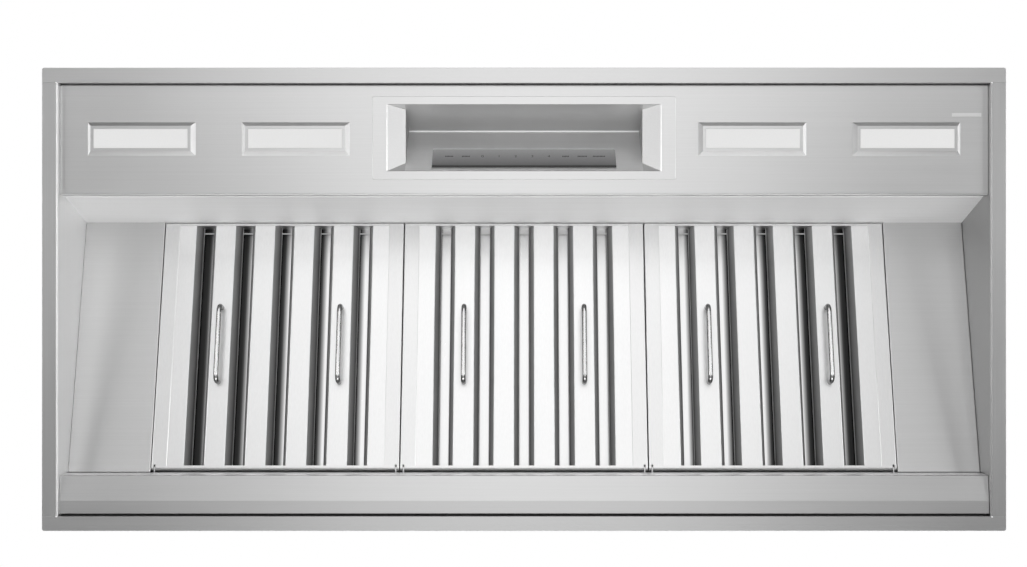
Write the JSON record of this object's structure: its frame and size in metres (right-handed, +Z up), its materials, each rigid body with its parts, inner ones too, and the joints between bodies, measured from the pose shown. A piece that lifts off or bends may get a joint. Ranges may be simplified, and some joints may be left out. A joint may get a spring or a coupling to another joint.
{
  "type": "range hood insert",
  "caption": "Stainless range hood insert with hinged baffle filters, lights, a touch strip in a pocket, a grease tray, a twin-wheel blower and a round duct collar with a back-draught damper.",
  "frame": {"origin": "middle of the underside of the trim flange, which is the lowest plane of the part", "axes": "+X to the right and along the length, +Y to the rear wall, +Z up towards the duct"},
  "size_m": [1.178, 0.566, 0.36],
  "materials": {
    "stainless": "brushed stainless sheet",
    "filter_stainless": "bright stainless baffles",
    "handle_chrome": "polished bar handle",
    "frosted_lens": "frosted diffuser",
    "touch_strip": "dark grey touch strip",
    "galvanised": "galvanised sheet inside the housing",
    "motor_black": "black painted motor and driver cases",
    "circuit_board": "circuit board",
    "white_plastic": "white LED modules"
  },
  "bodies": {
    "canopy": {"flange_front": "stainless", "flange_rear": "stainless", "flange_left": "stainless", "flange_right": "stainless", "wall_front": "stainless", "wall_rear": "stainless", "wall_left": "stainless", "wall_right": "stainless", "top_panel": "stainless", "top_screws": "stainless", "light_panel": "stainless", "baffle_plate": "stainless", "filler_left": "stainless", "filler_right": "stainless", "filter_rail": "stainless", "tray_brackets": "stainless", "control_plate": "stainless", "touch_strip": "touch_strip", "control_board": "circuit_board", "led_driver": "motor_black", "led_modules": "white_plastic", "blower_housing_left": "galvanised", "blower_housing_right": "galvanised", "blower_motor": "motor_black", "motor_spiders": "galvanised", "outlet_adapter": "galvanised", "duct_collar": "galvanised", "damper_rod": "stainless", "junction_box": "galvanised", "junction_box_cover": "galvanised", "light_1_bezel": "stainless", "light_1_lens": "frosted_lens", "light_2_bezel": "stainless", "light_2_lens": "frosted_lens", "light_3_bezel": "stainless", "light_3_lens": "frosted_lens", "light_4_bezel": "stainless", "light_4_lens": "frosted_lens"},
    "filter_1": {"filter_1_rim": "filter_stainless", "filter_1_outer_baffles": "filter_stainless", "filter_1_inner_baffles": "filter_stainless", "filter_1_handles": "handle_chrome", "filter_1_clips": "stainless"},
    "filter_2": {"filter_2_rim": "filter_stainless", "filter_2_outer_baffles": "filter_stainless", "filter_2_inner_baffles": "filter_stainless", "filter_2_handles": "handle_chrome", "filter_2_clips": "stainless"},
    "filter_3": {"filter_3_rim": "filter_stainless", "filter_3_outer_baffles": "filter_stainless", "filter_3_inner_baffles": "filter_stainless", "filter_3_handles": "handle_chrome", "filter_3_clips": "stainless"},
    "grease_tray": {"grease_tray": "stainless"},
    "blower_rotor": {"blower_wheel_left": "galvanised", "blower_wheel_right": "galvanised", "blower_shaft": "stainless"},
    "damper_flap_front": {"damper_flap_front": "galvanised"},
    "damper_flap_rear": {"damper_flap_rear": "galvanised"}
  },
  "joints": [
    {"name": "filter_1_hinge", "type": "hinge", "parent": "canopy", "child": "filter_1", "pos_m": [-0.311, 0.21116, 0.0427], "axis": [1, 0, 0], "range_deg": [0, 75], "deforming": ["filter_1_clips"]},
    {"name": "filter_2_hinge", "type": "hinge", "parent": "canopy", "child": "filter_2", "pos_m": [0, 0.21116, 0.0427], "axis": [1, 0, 0], "range_deg": [0, 75], "deforming": ["filter_2_clips"]},
    {"name": "filter_3_hinge", "type": "hinge", "parent": "canopy", "child": "filter_3", "pos_m": [0.311, 0.21116, 0.0427], "axis": [1, 0, 0], "range_deg": [0, 75], "deforming": ["filter_3_clips"]},
    {"name": "tray_pull_down", "type": "slide", "parent": "canopy", "child": "grease_tray", "axis": [0, 0, -1], "range_m": [0, 0.09]},
    {"name": "blower_spin", "type": "hinge", "parent": "canopy", "child": "blower_rotor", "pos_m": [0, 0.09996, 0.19607], "axis": [1, 0, 0], "continuous": true},
    {"name": "damper_front_swing", "type": "hinge", "parent": "canopy", "child": "damper_flap_front", "pos_m": [0, 0.0545, 0.327], "axis": [-1, 0, 0], "range_deg": [0, 75]},
    {"name": "damper_rear_swing", "type": "hinge", "parent": "canopy", "child": "damper_flap_rear", "pos_m": [0, 0.0545, 0.327], "axis": [1, 0, 0], "range_deg": [0, 75]}
  ]
}
